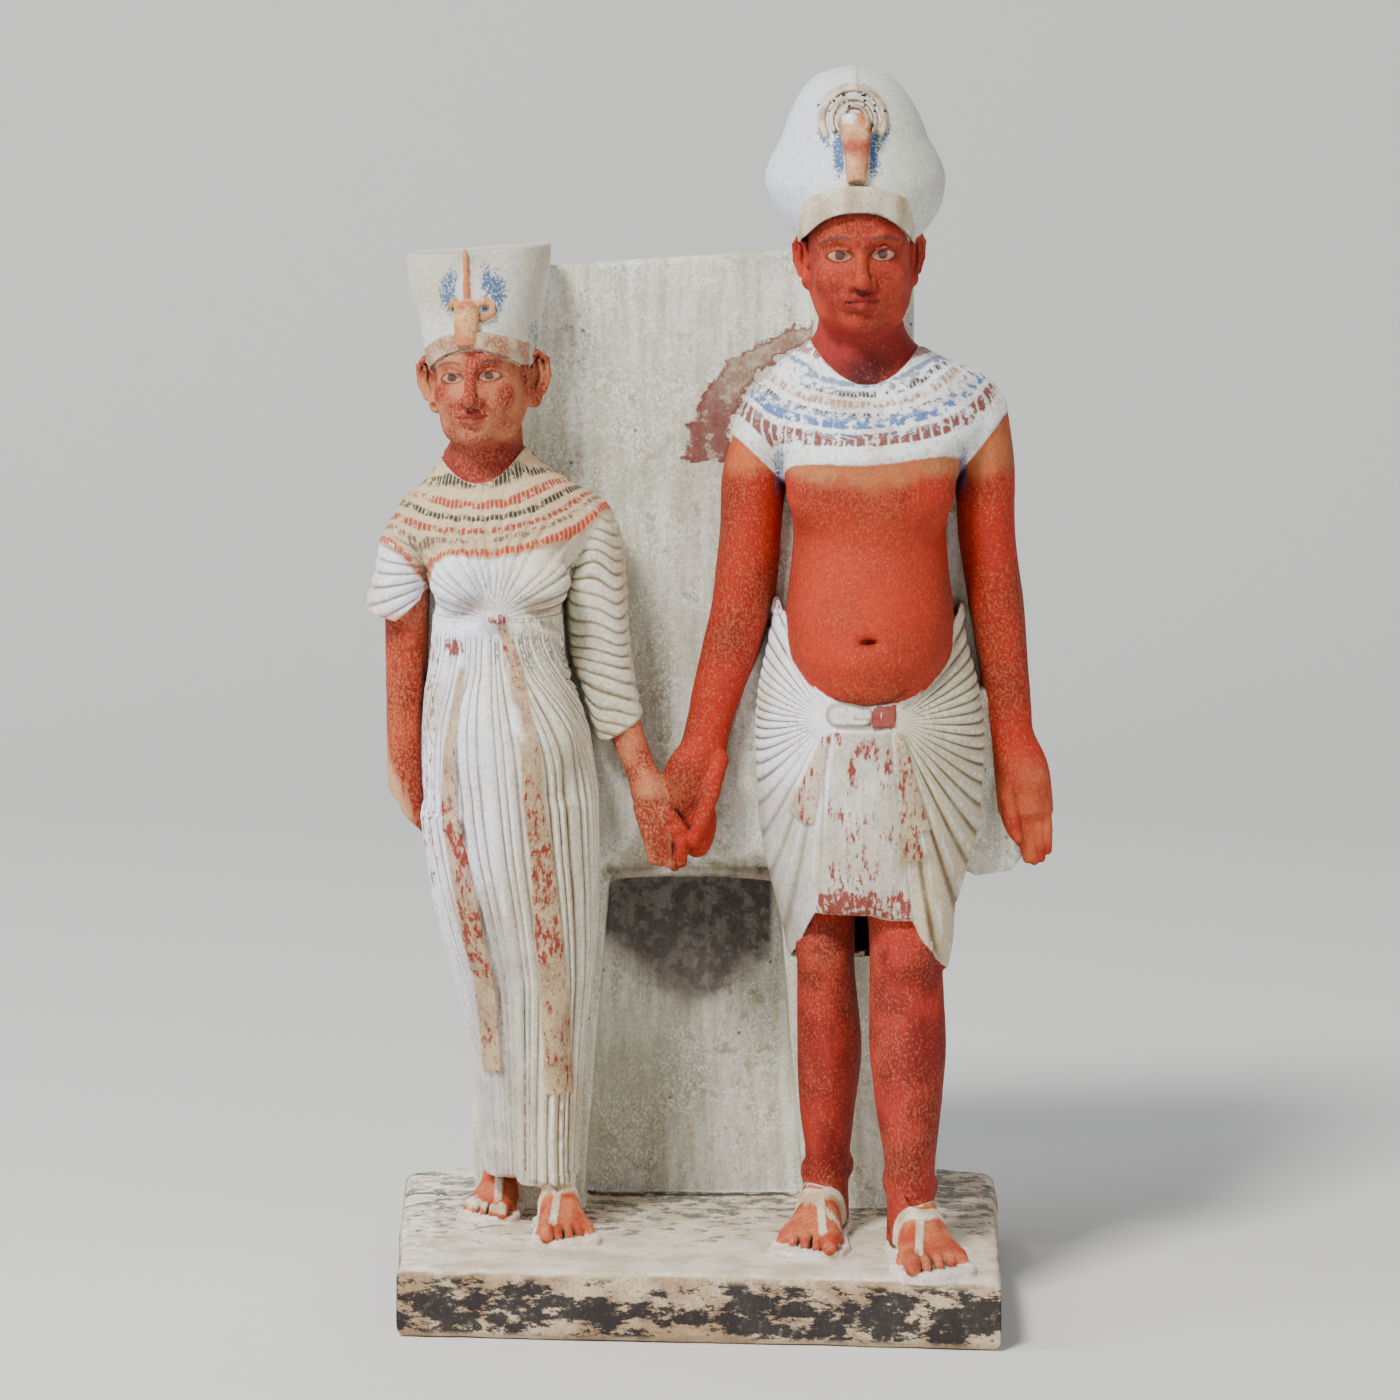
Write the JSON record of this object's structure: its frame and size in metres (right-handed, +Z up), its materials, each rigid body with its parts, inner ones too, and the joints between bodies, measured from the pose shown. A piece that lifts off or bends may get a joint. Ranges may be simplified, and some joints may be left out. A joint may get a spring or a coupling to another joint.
{
  "type": "egyptian pharaoh statue",
  "caption": "Painted limestone statuette of a pharaoh and his queen standing hand in hand, carved in one with their base and back slab.",
  "frame": {"origin": "centre of the base's underside, at the middle of the bounding box's floor", "axes": "+Z up, the two figures face -Y, the king stands towards +X and the queen towards -X"},
  "size_m": [0.1236, 0.098, 0.222],
  "materials": {
    "painted_limestone": "matt carved limestone with worn white, red, blue and black paint"
  },
  "bodies": {
    "root": {"royal_pair_statue": "painted_limestone"}
  },
  "joints": []
}
